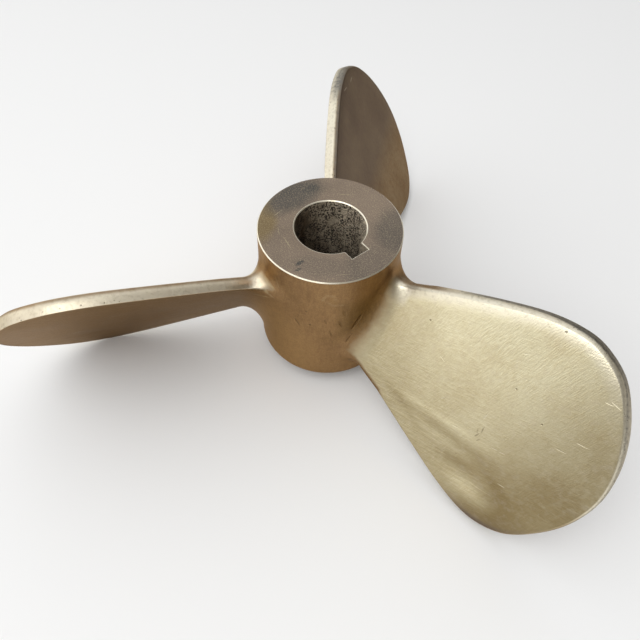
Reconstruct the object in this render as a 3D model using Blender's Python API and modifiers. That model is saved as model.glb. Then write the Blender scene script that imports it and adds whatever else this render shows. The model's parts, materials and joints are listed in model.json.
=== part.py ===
"""Ship propeller with three blades, cast in bronze in one piece with its hub.

The shaft axis is Z. The origin lies on that axis, halfway along the hub. The
keyed end of the hub faces up, and one blade points along +Y.
"""

import math

import bmesh
import bpy

MM = 0.001

# Hub, turned and faced at its ends, with a slight casting draft
HUB_LENGTH = 113.5 * MM
HUB_TOP_RADIUS = 50.5 * MM
HUB_BOTTOM_RADIUS = 52.2 * MM
HUB_TOP_CHAMFER = 0.7 * MM
HUB_BOTTOM_ROUND = 5 * MM
HUB_SIDES = 96

# Shaft bore and its keyway, open from end to end
BORE_RADIUS = 25 * MM
BORE_CHAMFER = 0.6 * MM
KEYWAY_WIDTH = 14 * MM
KEYWAY_REACH = 31.8 * MM
KEYWAY_AZIMUTH = math.radians(-38)

# Blades, near flat plates set steeply on the hub
BLADE_AZIMUTHS = [math.radians(angle) for angle in (90, 210, 330)]
BLADE_HEIGHT = -4.4 * MM
BLADE_RAKE = 0.027
PITCH_ANGLE = math.radians(61.2)
BLADE_THICKNESS = 10.2 * MM

# Facets of the rounded edge, as (slope in degrees, length) above its upright wall
EDGE_WALL_SLOPE = 86
EDGE_ROUND = [(74, 2.3 * MM), (58, 2.3 * MM)]
EDGE_CORNER = (25, 1.2 * MM)
SHOULDER_SLOPE = 7
SHOULDER_WIDTH = 9 * MM

# Where the shoulder fades along the rim, as shares from the raised root to the low one
SHOULDER_FADE = (0.24, 0.38)
SHOULDER_LEAST = 0.12

# Share of the rim where each blade's shoulder starts, so that the first blade has little of it
SHOULDER_STARTS = [0.33, 0, 0]

# Blade outline as (distance from the shaft axis, distance along the chord)
# from the root of the raised edge, round the tip, to the root of the low edge
OUTLINE = [
    (78, 49.1), (95.3, 56.7), (120.4, 67), (145.4, 75.6), (165.2, 78.8), (181.2, 77.1),
    (198.8, 67.7), (211.6, 52.5), (221.6, 34), (228.2, 13), (229.9, -8), (225.5, -30.9),
    (215.8, -51), (202, -68.2), (185.4, -76.3), (168.3, -77.2), (145.5, -71.5),
    (120.5, -61.9), (95.4, -51.6), (78, -44.2),
]
ROOT_CHORD = (35.8, -31.3)
ROOT_SPREAD = 0.46

# Fillet where the blades run into the hub, larger on their backs
FILLET_RADIUS = 15 * MM
BACK_FILLET_EXTRA = 7 * MM
FILLET_TURNS = [math.radians(angle) for angle in (12, 28, 44, 60, 75, 90)]
ROOT_DEPTH = 5 * MM

SECTIONS = 28
EDGE_FACETS = 5
FACE_FACETS = 4


def clear_scene():
    """Remove what the file holds already."""
    for item in list(bpy.data.objects):
        bpy.data.objects.remove(item, do_unlink=True)


def new_collection(name):
    """A collection of its own, linked to the scene."""
    collection = bpy.data.collections.new(name)
    bpy.context.scene.collection.children.link(collection)
    return collection


def bronze():
    """Brown cast bronze with a dull sheen."""
    material = bpy.data.materials.new("cast_bronze")
    material.use_nodes = True
    shader = material.node_tree.nodes["Principled BSDF"]
    shader.inputs["Base Color"].default_value = (0.32, 0.22, 0.12, 1)
    shader.inputs["Metallic"].default_value = 1
    shader.inputs["Roughness"].default_value = 0.45
    return material


def mesh_object(name, mesh, collection):
    """An object for the mesh, shaded smooth with crisp corners."""
    mesh.shade_smooth()
    mesh.set_sharp_from_angle(angle=math.radians(35))
    item = bpy.data.objects.new(name, mesh)
    collection.objects.link(item)
    return item


def as_cutter(item):
    """Show the object as a wire guide and leave it out of renders."""
    item.hide_render = True
    item.display_type = "WIRE"
    return item


def arc(centre, radius, start, end, steps):
    """Points on an arc from one angle in degrees to another."""
    points = []
    for step in range(steps + 1):
        angle = math.radians(start + (end - start) * step / steps)
        x = centre[0] + radius * math.cos(angle)
        z = centre[1] + radius * math.sin(angle)
        points.append((x, z))
    return points


def hub_profile():
    """Half section of the hub, from the bore's top down its outer side."""
    top = HUB_LENGTH / 2
    mouth = BORE_RADIUS + BORE_CHAMFER
    rounding = (HUB_BOTTOM_RADIUS - HUB_BOTTOM_ROUND, HUB_BOTTOM_ROUND - top)
    profile = [
        (BORE_RADIUS, top - BORE_CHAMFER),
        (mouth, top),
        (HUB_TOP_RADIUS - HUB_TOP_CHAMFER, top),
        (HUB_TOP_RADIUS, top - HUB_TOP_CHAMFER),
    ]
    profile += arc(rounding, HUB_BOTTOM_ROUND, 0, -90, 4)
    profile += [(mouth, -top), (BORE_RADIUS, BORE_CHAMFER - top)]
    return profile


def make_hub(collection):
    """Turn the hub's profile about the shaft axis."""
    profile = hub_profile()
    mesh = bpy.data.meshes.new("propeller_casting")
    edges = [(i, (i + 1) % len(profile)) for i in range(len(profile))]
    mesh.from_pydata([(x, 0, z) for x, z in profile], edges, [])
    hub = mesh_object("propeller_casting", mesh, collection)
    turn = hub.modifiers.new("turned profile", "SCREW")
    turn.steps = HUB_SIDES
    turn.render_steps = HUB_SIDES
    turn.use_merge_vertices = True
    turn.merge_threshold = 0.00001
    turn.use_normal_calculate = False
    return hub


def spline(points, count):
    """Evenly spaced points on a smooth curve through the given points."""
    first = [2 * a - b for a, b in zip(points[0], points[1])]
    last = [2 * a - b for a, b in zip(points[-1], points[-2])]
    path = [first, *points, last]
    fine = []
    for i in range(1, len(path) - 2):
        fine += [curve_point(path[i - 1 : i + 3], step / 20) for step in range(20)]
    fine.append(points[-1])
    return evenly_spaced(fine, count)


def curve_point(knots, t):
    """A point between the middle two of four knots, on a Catmull-Rom curve."""
    values = []
    for a, b, c, d in zip(*knots):
        bend = 2 * a - 5 * b + 4 * c - d
        twist = 3 * b - a - 3 * c + d
        values.append(b + (t * (c - a) + t * t * bend + t**3 * twist) / 2)
    return values


def evenly_spaced(line, count):
    """Points at equal steps along a polyline."""
    lengths = [0]
    for a, b in zip(line, line[1:]):
        lengths.append(lengths[-1] + math.dist(a, b))
    points = []
    i = 0
    for step in range(count):
        goal = lengths[-1] * step / (count - 1)
        while i < len(line) - 2 and lengths[i + 1] < goal:
            i += 1
        share = (goal - lengths[i]) / (lengths[i + 1] - lengths[i])
        points.append([a + share * (b - a) for a, b in zip(line[i], line[i + 1])])
    return points


def blade_place(reach, chord, height):
    """Place of a blade point: out from the axis, along the chord, over the flat face."""
    y = chord * math.cos(PITCH_ANGLE) - height * math.sin(PITCH_ANGLE)
    z = chord * math.sin(PITCH_ANGLE) + height * math.cos(PITCH_ANGLE)
    return reach, y, z + BLADE_HEIGHT + BLADE_RAKE * (reach - HUB_TOP_RADIUS)


def edge_profile(share):
    """Edge from the blade's back up to its flat face, as (inset, height), along the rim."""
    start, end = SHOULDER_FADE
    fade = min(max((share - start) / (end - start), 0), 1)
    shoulder = 1 - (1 - SHOULDER_LEAST) * fade * fade * (3 - 2 * fade)
    corner = (EDGE_CORNER[0] + SHOULDER_SLOPE * shoulder, EDGE_CORNER[1])
    facets = [*EDGE_ROUND, corner, (SHOULDER_SLOPE * shoulder, SHOULDER_WIDTH)]
    rises = [length * math.sin(math.radians(slope)) for slope, length in facets]
    wall = BLADE_THICKNESS - sum(rises)
    profile = [(0, 0), (wall / math.tan(math.radians(EDGE_WALL_SLOPE)), wall)]
    for (slope, length), rise in zip(facets, rises):
        inset, height = profile[-1]
        profile.append((inset + length * math.cos(math.radians(slope)), height + rise))
    return profile


def edge_points(rim_point, direction, share):
    """The edge's profile at a rim point, as (reach, chord, height)."""
    reach, chord = rim_point
    profile = edge_profile(share)
    return [(reach + d * direction[0], chord + d * direction[1], t) for d, t in profile]


def section(low, high, low_inward, high_inward, share):
    """Closed section of the blade between two rim points, as (reach, chord, height)."""
    rising = edge_points(low, low_inward, 1 - share)
    falling = edge_points(high, high_inward, share)
    return rising + between(rising[-1], falling[-1]) + falling[::-1] + between(falling[0], rising[0])


def between(start, end):
    """Points that divide the line between two points into equal parts."""
    points = []
    for step in range(1, FACE_FACETS):
        share = step / FACE_FACETS
        points.append(tuple(a + share * (b - a) for a, b in zip(start, end)))
    return points


def inward(rim, i):
    """Unit direction from a rim point into the blade."""
    before = rim[max(i - 1, 0)]
    after = rim[min(i + 1, len(rim) - 1)]
    along = (after[0] - before[0], after[1] - before[1])
    length = math.hypot(*along)
    return along[1] / length, -along[0] / length


def plate_sections(shoulder_start):
    """Sections of the blade from where its fillet ends out to its tip."""
    rim = spline([(u * MM, w * MM) for u, w in OUTLINE], 2 * SECTIONS)
    sections = []
    for i in range(SECTIONS):
        j = len(rim) - 1 - i
        share = max(i / (len(rim) - 1), shoulder_start)
        sections.append(section(rim[j], rim[i], inward(rim, j), inward(rim, i), share))
    return [[blade_place(*point) for point in points] for points in sections]


def root_section(turn, depth, shoulder_start):
    """Section in the fillet, which turns from the hub's side into the blade."""
    spread = ROOT_SPREAD * FILLET_RADIUS * (1 - math.cos(turn))
    high = (0, ROOT_CHORD[0] * MM + spread)
    low = (0, ROOT_CHORD[1] * MM - spread)
    points = section(low, high, (0, 1), (0, -1), shoulder_start)
    placed = []
    for i, point in enumerate(points):
        before, after = points[i - 1], points[(i + 1) % len(points)]
        length = math.dist(before, after)
        out = ((before[2] - after[2]) / length, (after[1] - before[1]) / length)
        radius = FILLET_RADIUS + BACK_FILLET_EXTRA * max(-out[1], 0)
        growth = radius * (1 - math.sin(turn))
        chord, height = point[1] + growth * out[0], point[2] + growth * out[1]
        _, y, z = blade_place(HUB_TOP_RADIUS, chord, height)
        level = radius * (1 - math.cos(turn)) - depth
        placed.append((math.sqrt(HUB_TOP_RADIUS**2 - y * y) + level, y, z))
    return placed


def blade_mesh(shoulder_start):
    """Loft a blade from inside the hub, through its fillet, to the tip."""
    rows = [root_section(FILLET_TURNS[0], ROOT_DEPTH, shoulder_start)]
    rows += [root_section(turn, 0, shoulder_start) for turn in FILLET_TURNS]
    rows += plate_sections(shoulder_start)
    shape = bmesh.new()
    loops = [[shape.verts.new(point) for point in row] for row in rows]
    for inner, outer in zip(loops, loops[1:]):
        for i in range(len(inner)):
            j = (i + 1) % len(inner)
            shape.faces.new((inner[i], inner[j], outer[j], outer[i]))
    shape.faces.new(loops[0][::-1])
    close_tip(shape, loops[-1])
    bmesh.ops.triangulate(shape, faces=shape.faces)
    bmesh.ops.recalc_face_normals(shape, faces=shape.faces)
    mesh = bpy.data.meshes.new("blade")
    shape.to_mesh(mesh)
    shape.free()
    return mesh


def close_tip(shape, loop):
    """Join the two edges of the last section across the tip."""
    count = EDGE_FACETS + 1
    rising = loop[:count]
    falling = loop[count + FACE_FACETS - 1 :][:count][::-1]
    top = loop[count : count + FACE_FACETS - 1]
    flat = loop[-(FACE_FACETS - 1) :]
    for k in range(1, count - 2):
        shape.faces.new((rising[k], rising[k + 1], falling[k + 1], falling[k]))
    shape.faces.new((rising[-2], rising[-1], *top, falling[-1], falling[-2]))
    shape.faces.new((rising[1], falling[1], falling[0], *flat, rising[0]))


def add_boolean(item, cutter, operation):
    """Join or cut the object with another."""
    change = item.modifiers.new(f"{operation.lower()} {cutter.name}", "BOOLEAN")
    change.object = cutter
    change.operation = operation
    change.solver = "EXACT"


def add_blades(hub, collection):
    """Join a blade to the hub at each azimuth."""
    blades = zip(BLADE_AZIMUTHS, SHOULDER_STARTS)
    for number, (azimuth, shoulder_start) in enumerate(blades, start=1):
        mesh = blade_mesh(shoulder_start)
        blade = as_cutter(mesh_object(f"blade_{number}", mesh, collection))
        blade.rotation_euler.z = azimuth
        add_boolean(hub, blade, "UNION")


def cut_keyway(hub, collection):
    """Cut the keyway beside the bore, from end to end."""
    shape = bmesh.new()
    bmesh.ops.create_cube(shape, size=1)
    bmesh.ops.scale(shape, verts=shape.verts, vec=(KEYWAY_REACH, KEYWAY_WIDTH, HUB_LENGTH * 1.2))
    bmesh.ops.translate(shape, verts=shape.verts, vec=(KEYWAY_REACH / 2, 0, 0))
    mesh = bpy.data.meshes.new("keyway")
    shape.to_mesh(mesh)
    shape.free()
    keyway = as_cutter(mesh_object("keyway", mesh, collection))
    keyway.rotation_euler.z = KEYWAY_AZIMUTH
    add_boolean(hub, keyway, "DIFFERENCE")


def main():
    """Build the propeller."""
    clear_scene()
    parts = new_collection("ship_propeller")
    cutters = new_collection("cutters")
    hub = make_hub(parts)
    hub.data.materials.append(bronze())
    add_blades(hub, cutters)
    cut_keyway(hub, cutters)


main()
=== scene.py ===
"""Dresses the cast bronze ship propeller and sets it on a plain stage."""

import json
import math

import bmesh
import bpy
import numpy as np
from mathutils import Matrix, Vector, noise


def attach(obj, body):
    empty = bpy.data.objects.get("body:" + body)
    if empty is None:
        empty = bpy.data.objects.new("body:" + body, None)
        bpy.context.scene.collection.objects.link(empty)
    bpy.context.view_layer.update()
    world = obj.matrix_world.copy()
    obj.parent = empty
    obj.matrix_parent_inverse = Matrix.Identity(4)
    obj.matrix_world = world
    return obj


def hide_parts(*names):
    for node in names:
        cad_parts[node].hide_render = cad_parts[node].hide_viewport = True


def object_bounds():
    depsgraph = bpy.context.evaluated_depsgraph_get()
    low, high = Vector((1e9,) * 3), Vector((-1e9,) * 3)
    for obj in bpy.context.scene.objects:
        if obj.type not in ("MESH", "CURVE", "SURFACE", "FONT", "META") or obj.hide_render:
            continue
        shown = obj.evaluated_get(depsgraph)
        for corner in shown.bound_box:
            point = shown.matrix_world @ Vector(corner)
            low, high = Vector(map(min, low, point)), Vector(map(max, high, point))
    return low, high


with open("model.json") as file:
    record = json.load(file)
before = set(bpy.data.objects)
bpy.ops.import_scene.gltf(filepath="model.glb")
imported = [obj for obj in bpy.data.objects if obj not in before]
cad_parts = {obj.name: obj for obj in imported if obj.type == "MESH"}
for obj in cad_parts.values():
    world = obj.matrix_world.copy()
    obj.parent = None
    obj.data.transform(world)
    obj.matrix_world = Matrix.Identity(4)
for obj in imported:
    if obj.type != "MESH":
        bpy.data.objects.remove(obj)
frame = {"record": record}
CAD_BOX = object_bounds()

bl_info = {
    "name": "Ship Propeller",
    "version": (1, 0, 0),
    "blender": (4, 5, 0),
    "location": "3D View > Sidebar > Propeller",
    "description": "Builds the finished surface of a cast bronze ship propeller",
    "category": "Object",
}

MM = 0.001
FACE_HEIGHTS = {mount["name"]: mount["pos_m"][2] for mount in frame["record"]["mounts"]}
HUB_TOP = FACE_HEIGHTS["hub_top_face"]
HUB_BOTTOM = FACE_HEIGHTS["hub_bottom_face"]

# Azimuths of the blades; the front right one faces the camera
BLADE_AZIMUTHS = {"back": 90, "left": 210, "front": 330}

# Blade outline in mm as (distance from the shaft axis, distance along the chord)
# from the root of the raised edge, round the tip, to the root of the low edge
OUTLINE = [
    (78, 49.1), (95.3, 56.7), (120.4, 67), (145.4, 75.6), (165.2, 78.8), (181.2, 77.1),
    (198.8, 67.7), (211.6, 52.5), (221.6, 34), (228.2, 13), (229.9, -8), (225.5, -30.9),
    (215.8, -51), (202, -68.2), (185.4, -76.3), (168.3, -77.2), (145.5, -71.5),
    (120.5, -61.9), (95.4, -51.6), (78, -44.2),
]

# Where the edge's shoulder fades along the rim, as shares from the raised root to the low one
SHOULDER_FADE = (0.24, 0.38)
SHOULDER_LEAST = 0.12

# Share of the rim where each blade's shoulder starts, so that the back blade has little of it
SHOULDER_STARTS = {"back": 0.33, "left": 0, "front": 0}

# Mean radii of the barrel and of the hub's faces
BARREL_MIDDLE = 51.5 * MM
FACE_MIDDLE = 38 * MM

# Slopes of a blade's edge in degrees: its upright wall, and the two ends of its rounding
WALL_SLOPE = 86
ROUND_SLOPES = (82, 50)

# Mesh density of the casting
WALL_FACETS, ROUND_FACETS, CORNER_FACETS, SHOULDER_FACETS = 3, 6, 4, 6
EDGE_FACETS = WALL_FACETS + ROUND_FACETS + CORNER_FACETS + SHOULDER_FACETS
FACE_FACETS = 58
BACK_FACETS = 62
RING_POINTS = 2 * EDGE_FACETS + FACE_FACETS + BACK_FACETS + 2
PLATE_ROWS = 110
NECK_ROWS = 5
FILLET_ROWS = 14
BARREL_ROWS = 12
SECTOR_TOP = 35
SECTOR_SIDE = RING_POINTS // 2 - SECTOR_TOP
HUB_POINTS = 3 * SECTOR_TOP
KEYWAY_POINTS = 7
ROUNDING_STEPS = 6
BORE_LOOPS = 12

# Index of a section's point where its upper side ends and its back starts
UPPER_END = 2 * EDGE_FACETS + FACE_FACETS

# Points nearer than this are one, and steeper turns than this are crisp
WELD_DISTANCE = 0.01 * MM
SHARP_ANGLE = math.radians(28)

# Long hollows in the blades' upper faces, in mm and degrees, as
# (reach, chord, half length, half width, turn, depth)
HOLLOWS = {
    "front": [(163, -48, 16, 6, 4, 1.1), (186, -52, 9, 6, -35, 0.6), (134, -35, 36, 3, 3, 0.35),
              (131, -26, 36, 2.6, 5, 0.25), (86, -27, 18, 2.8, -33, 0.25)],
    "back": [(150, 30, 20, 9, 10, 0.3)],
    "left": [(170, 20, 18, 10, -20, 0.3)],
    "left under": [(196, -52, 7, 14, 0, 0.35), (178, -60, 4, 10, 0, 0.3), (166, -62, 4, 9, 0, 0.25)],
}

# Share of brown on the blades, brown patina with the dark reflection of the ground painted in: upper
# faces, rounding and upright wall of their edges
FACE_BROWN = {"back": 0.85, "left": 0.1, "front": 0}
FLANK_BROWN = {"back": 0.85, "left": 0.7, "front": 0}
WALL_BROWN = {"back": 0.05, "left": 0.2, "front": 0.1}

# How bright the edges are rubbed, and painted brighter as a highlight
EDGE_RUB_AND_HIGHLIGHT = {"back": 0.9, "left": 0.8, "front": 1}

# How far the back blade's upper face is painted darker as shade low down, and what it gains higher up
BACK_SHADE = (0.55, 0.55)

# Brown line along the front blade's low edge, as (reach in mm, half length)
LOW_EDGE_BROWN = (181, 24)

# Bands of painted reflection on the front blade's upper face, darker or, below nought, brighter than the
# rest, as the hollows with a strength for the depth
REFLECTION_BANDS = [
    (166, -58, 16, 6, 0, -0.6), (136, -33, 32, 4.5, 2, 0.32), (128, -25, 34, 2.4, 5, -0.3),
    (148, -46, 13, 4, 8, 0.3), (176, -41, 15, 4, -22, 0.2), (104, -38, 22, 3, -20, 0.18),
    (190, -48, 12, 3, -38, 0.2),
]

# Deep scratches in the blades' upper faces, in mm and degrees, as
# (reach, chord, half length, half width, turn)
SCRATCHES = {
    "front": [
        (150.6, -3.5, 3.5, 0.5, 85), (139, -24, 3, 0.35, 20), (166, -19, 3, 0.4, 12),
        (171, -18, 3, 0.35, 18), (150, 49, 3, 0.35, 30), (196, 9, 4, 0.35, 14),
        (108, 12, 3, 0.35, -20), (182, -38, 3.5, 0.4, 8), (122, -12, 2.5, 0.35, 60),
        (203.5, 53.5, 4.5, 0.5, -11), (200.7, 52, 3.2, 0.45, 12), (203.4, 20.5, 4.5, 0.4, 11),
    ],
    "back": [(173, 68, 5, 0.5, 5), (155, 70, 5, 0.5, -8)],
    "left": [(150, 30, 8, 0.4, 10), (185, -12, 6, 0.4, -30)],
}

# Dark pits and cuts in the front blade's upper face, as the scratches with a strength
PITS = [
    (156.3, 25.6, 0.9, 0.9, 0, 1), (179.6, 16, 0.8, 0.8, 0, 1), (160.8, 74, 1, 1, 0, 1),
    (88, 30, 0.9, 0.9, 0, 1), (153.9, -13, 3.4, 0.6, 96, 0.6), (152.6, -19, 2.8, 0.8, 70, 0.6),
    (155, -21.5, 2, 0.7, 60, 0.5), (151.5, -16, 2, 0.6, 110, 0.4),
]

# Centre and half sizes in mm of the place where the grinding marks of the front blade cross
CROSSED_MARKS = (155, 50, 60, 45)

# Gouges in the barrel under the front of the hub, as
# (azimuth, height in mm, half length, half width, turn, strength)
GOUGES = [
    (-101.5, 8, 5.5, 1, -60, 0.8), (-66.9, 12, 5, 1.2, -72, 0.8), (-74.2, 1, 5.5, 1, -75, 0.7),
    (-79, 15, 3.5, 1, -72, 0.5), (-64.2, 24, 4.5, 1.6, -75, 0.5), (-53.3, 10.5, 11, 1.8, 64, 0.7),
    (-59.6, -8, 5, 1.3, 63, 0.6), (-93.9, 23.3, 0.9, 0.9, 0, 1), (-90.6, 9, 0.9, 0.9, 0, 1),
]

# Fresh rub marks on the barrel, as the gouges
RUB_MARKS = [
    (-80.5, 41, 4.5, 1.9, 62, 0.5), (-76, 44, 5, 1.8, -12, 0.4), (-72, 41, 4, 1.8, -70, 0.4),
    (-70, 33.5, 8, 1.6, -4, 0.5), (-77, 36, 5, 1.6, -38, 0.4), (-127, 35, 8, 1.3, -20, 1),
    (-124, 28, 7, 1.2, -50, 1), (-129, 22, 7, 1.2, 15, 0.9), (-120, 40, 6, 1, -65, 0.8),
]

# Place low on the barrel where handling has rubbed the patina golden, as the gouges
HANDLED = [(-124, -30, 60, 48, 90, 1)]

# Stains, and painted patches of sheen and reflection, on the hub's upper face, in mm and degrees, as (x,
# y, half length, half width, turn, strength)
STAINS_AND_SHEEN = [
    (-10.2, -37.5, 5, 1.8, 48, 1), (-10.6, -43.2, 4.4, 1.6, 38, 0.9), (-33, 22, 33, 18, 52, 0.9),
    (-24, 32, 13, 7, 48, 1), (35, -27, 32, 22, 52, 0.45), (44, 6, 34, 20, 98, 0.6),
    (3, -37, 26, 13, 5, 0.3),
]

# Where that face is painted olive gold as a reflection, as the stains
GOLD_SHEEN = [(-45, -8, 28, 11, 101, 0.8)]

# Light scratches on that face, as the stains
FACE_SCRATCHES = [
    (-24, -23, 9, 0.5, -48, 0.5), (-38, 3, 7, 0.45, 62, 0.4), (4, 34, 10, 0.45, 12, 0.35),
    (-33, -14, 6, 0.4, -65, 0.35), (33, 22, 8, 0.4, -40, 0.3), (18, -40, 7, 0.4, 20, 0.3),
]

# Direction of the brightest part of the sky: left, a little to the back and high up,
# and the cosines of the angles to it between which the sky brightens
BRIGHT_SKY = (-0.63, 0.11, 0.77)
SKY_FADE = (-0.1, 0.75)
SKY_STRENGTH = 1.1

# Camera, fitted to the photograph: its turn round the shaft axis in degrees, its distance in
# front of that axis and over the hub's face in hub radii, and its axes before that turn
HUB_RADIUS = 50 * MM
CAMERA_TURN = 11.73
CAMERA_ASIDE, CAMERA_ABOVE = 5.322, 5.448
CAMERA_RIGHT = (0.9987, 0.027, 0.0431)
CAMERA_UP = (-0.0484, 0.7649, 0.6423)

# Width of the square image, focal length and centre of view, in pixels
IMAGE_SIZE = 640
FOCAL_LENGTH = 552.998
VIEW_CENTRE = (337.278, 267.53)
SENSOR_WIDTH = 36

# Values carried by each point of the casting: brown patina with the painted dark reflection of the
# ground, bright rubbing of the edges with their painted highlight, painted shade, whether it lies on a
# blade, and the painted dark reflection on the edges' walls
TRAITS = ("patina", "edge", "dull", "blade", "skin")
BARREL_TRAITS = (1.0, 0, 0, 0, 0)

# How much painted shade darkens the barrel in the corner of a fillet
CORNER_SHADE = 0.5

# Faces by finish, as material slots of the casting
GROUND, FACED, CHAMFER, BORED = range(4)


def linear(hex_colour):
    """Linear colour with alpha from an sRGB hex value such as C8B27A."""
    values = [int(hex_colour[i : i + 2], 16) / 255 for i in (0, 2, 4)]
    light = [v / 12.92 if v <= 0.04045 else ((v + 0.055) / 1.055) ** 2.4 for v in values]
    return (*light, 1.0)


def length(name, description, size):
    """A length property in metres."""
    return bpy.props.FloatProperty(name=name, description=description, default=size, unit="LENGTH")


def angle(name, description, degrees):
    """An angle property."""
    return bpy.props.FloatProperty(
        name=name, description=description, default=math.radians(degrees), unit="ROTATION"
    )


def number(name, description, value):
    """A plain number property."""
    return bpy.props.FloatProperty(name=name, description=description, default=value)


def colour(name, description, hex_colour):
    """A colour property with an sRGB hex default."""
    return bpy.props.FloatVectorProperty(
        name=name, description=description, default=linear(hex_colour), size=4, subtype="COLOR"
    )


class HubSizes(bpy.types.PropertyGroup):
    """Turned hub, its bore and its keyway."""

    top_radius: length("Top radius", "Radius of the barrel under its rim", 50.5 * MM)
    bottom_radius: length("Bottom radius", "Radius of the barrel over its lower rounding", 52.2 * MM)
    rim_chamfer: length("Rim chamfer", "Bright chamfer round the upper face", 0.7 * MM)
    bottom_round: length("Bottom rounding", "Rounding of the lower rim", 5 * MM)
    bore_radius: length("Bore radius", "Radius of the shaft bore", 25 * MM)
    bore_chamfer: length("Bore chamfer", "Chamfer at the mouths of the bore", 0.6 * MM)
    keyway_width: length("Keyway width", "Width of the keyway", 14 * MM)
    keyway_reach: length("Keyway reach", "From the shaft axis to the keyway's floor", 31.8 * MM)
    keyway_chamfer: length("Keyway chamfer", "Broken edge of the keyway", 0.3 * MM)
    lip: length("Lip", "Worn lip between the chamfers and the hub's faces", 0.22 * MM)
    keyway_azimuth: angle("Keyway azimuth", "Where the keyway lies round the hub", -38)


class BladeSizes(bpy.types.PropertyGroup):
    """One blade, a near flat plate set steeply on the hub."""

    pitch: angle("Pitch", "Angle of the blade to the plane of rotation", 61.2)
    height: length("Height", "Height of the blade's axis over the middle of the hub", -4.4 * MM)
    rake: number("Rake", "Rise of the blade for each metre outwards", 0.027)
    thickness: length("Thickness", "Thickness of the plate", 10.2 * MM)
    edge_round: length("Edge rounding", "Length of the rounded flank of the edge", 4.6 * MM)
    edge_corner: length("Edge corner", "Length of the tight turn into the face", 1.2 * MM)
    shoulder: length("Shoulder", "Width of the slow fall of the face towards its edge", 9 * MM)
    shoulder_slope: angle("Shoulder slope", "Slope of the shoulder where it meets the corner", 14)
    arris: length("Arris", "Broken edge under the rim", 0.4 * MM)
    root_high: length("Root, high side", "Half chord at the hub, raised edge", 35.8 * MM)
    root_low: length("Root, low side", "Half chord at the hub, low edge", 31.3 * MM)
    root_spread: number("Root spread", "Growth of the half chord near the hub", 0.46)
    fillet: length("Fillet", "Radius of the fillet at the root", 15 * MM)
    back_fillet: length("Back fillet", "What the fillet gains on the blade's back", 7 * MM)


class BronzeFinish(bpy.types.PropertyGroup):
    """Colours of the casting's finishes."""

    ground: colour("Ground bronze", "Freshly ground blade faces", "E9DFBC")
    mottled: colour("Mottled bronze", "Patches of the faces that are less fresh", "D6C79F")
    # Painted shade: the darker bronze that faces turn to where they are painted darker
    shaded_bronze: colour("Dulled bronze", "Ground bronze that has dulled towards the tips", "8F7D58")
    # Pale bronze of rubbed edges, scratches and chamfers, also used to paint the highlight on rounded
    # edges and the fillets' high sides
    rubbed: colour("Rubbed edge", "Rounded edges rubbed bright", "EAE2CE")
    # Painted dark reflection on the edges' walls
    skin: colour("Cast skin", "Dark cast skin left on the edges", "7A766F")
    # Brown patina, also painted as the dark reflection of the ground on the barrel and the blades
    patina: colour("Patina", "Brown handled surface of the barrel", "8C6E4E")
    golden: colour("Rubbed patina", "Patina rubbed through to golden bronze", "AC8B60")
    # Also paints shade on the blades' backs and in the bore
    grime_and_shade: colour("Grime", "Brown grime in corners and scratches", "4B3823")
    # Painted shade in the corners of the fillets
    corner: colour("Corner patina", "Olive patina in the corners of the fillets", "665332")
    # Painted shade on the back blade's brown face
    shaded_grey: colour("Weathered patina", "Grey brown patina of a face left in the open", "645D5B")
    pitted: colour("Pitted edge", "Rough pits in the blades' edges", "8D8569")
    faced: colour("Faced bronze", "Hub ends faced in the lathe", "887869")
    # Painted reflection: olive gold patches of the upper face
    olive_sheen: colour("Olive bronze", "Olive gold patches of the faced ends", "87734E")
    # Grey stains, and painted reflection in grey patches
    stain_and_sheen: colour("Stain", "Grey stain on the faced ends", "57534F")
    bored: colour("Bored bronze", "Stained wall of the bore", "DCCCB2")
    pore: colour("Pore", "Open pores of the bore's wall", "1C150F")
    edge_tint: colour("Fresh at a low angle", "Tint of fresh bronze seen from the side", "FAF3E4")
    patina_tint: colour("Patina at a low angle", "Tint of patina seen from the side", "E3D4C2")


class StageSettings(bpy.types.PropertyGroup):
    """Floor, lights and camera."""

    floor: colour("Floor", "Pale floor under the propeller", "F4F3F1")
    key_power: number("Key light", "Power of the overhead softbox in watts", 6)
    side_power: number("Side light", "Power of the tall softbox at the left in watts", 3)
    sky: colour("Bright sky", "Soft surrounding light from the upper left", "F7F9FC")
    dim: colour("Dim sky", "Soft surrounding light from the right", "7C7974")


def curve_point(knots, t):
    """A point between the middle two of four knots, on a Catmull-Rom curve."""
    a, b, c, d = knots
    bend = 2 * a - 5 * b + 4 * c - d
    twist = 3 * b - a - 3 * c + d
    return b + (t * (c - a) + t * t * bend + t**3 * twist) / 2


def outline_curve(points, count):
    """Evenly spaced points on a smooth curve through the given points."""
    known = np.array(points, float)
    path = np.vstack([2 * known[0] - known[1], known, 2 * known[-1] - known[-2]])
    steps = np.linspace(0, 1, 40, endpoint=False)
    fine = [curve_point(path[i - 1 : i + 3], t) for i in range(1, len(path) - 2) for t in steps]
    fine.append(known[-1])
    return evenly_spaced(np.array(fine), count)


def evenly_spaced(line, count):
    """Points at equal steps along a polyline."""
    steps = np.linalg.norm(np.diff(line, axis=0), axis=1)
    along = np.concatenate([[0], np.cumsum(steps)])
    goals = np.linspace(0, along[-1], count)
    return np.column_stack([np.interp(goals, along, line[:, axis]) for axis in (0, 1)])


def inward_directions(rim):
    """Unit directions from the rim's points into the blade."""
    along = np.gradient(rim, axis=0)
    along /= np.linalg.norm(along, axis=1, keepdims=True)
    return np.column_stack([along[:, 1], -along[:, 0]])


def smooth(share):
    """Ease a share from nought to one."""
    share = min(max(share, 0), 1)
    return share * share * (3 - 2 * share)


def rising(size, start, span):
    """Ease from nought to one as a size in metres passes a start and a span in millimetres."""
    return smooth((size / MM - start) / span)


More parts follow.
